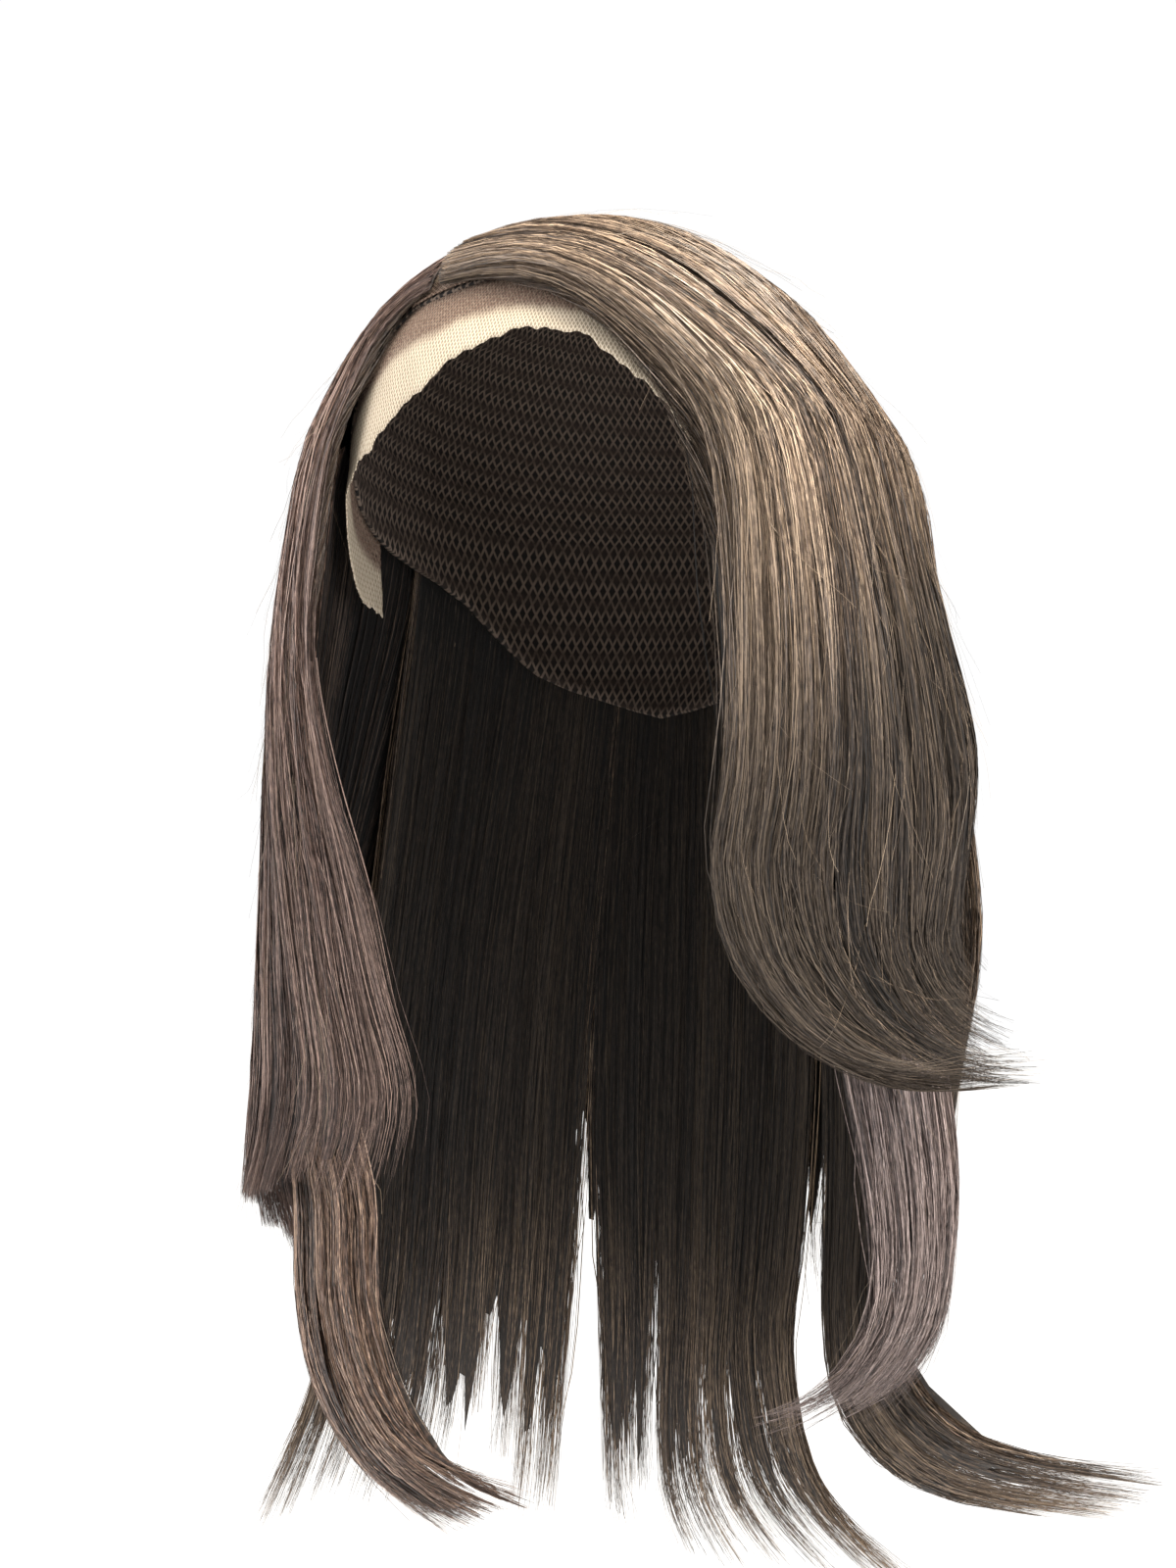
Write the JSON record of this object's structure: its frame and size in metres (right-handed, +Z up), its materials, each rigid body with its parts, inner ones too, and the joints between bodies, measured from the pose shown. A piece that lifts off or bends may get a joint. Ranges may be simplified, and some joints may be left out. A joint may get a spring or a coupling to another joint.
{
  "type": "lace part wig",
  "caption": "Long layered wig in its worn form, with a lace front, a lace side parting and ends that flip out or curl in, open for the head and neck.",
  "frame": {"origin": "the highest point of the cap's inside, where the crown of the head bears", "axes": "+Z up, -Y the way the face looks, +X the wearer's left; the longest extent is along Z"},
  "size_m": [0.3197, 0.2343, 0.4717],
  "materials": {
    "hair": "dark brown straight fibre with a soft sheen and lighter strands",
    "lace": "fine cream net, matt and slightly see-through",
    "cap_net": "dark stretch net with rows of sewn weft, matt"
  },
  "bodies": {
    "root": {"cap_left": "cap_net", "cap_right": "cap_net", "lace_front": "lace", "part_strip": "lace", "left_front_layer": "hair", "back_top_layer": "hair", "right_front_layer": "hair", "left_middle_layer": "hair", "back_middle_layer": "hair", "right_middle_layer": "hair", "left_back_layer": "hair", "back_lower_layer": "hair", "right_back_layer": "hair"}
  },
  "joints": []
}
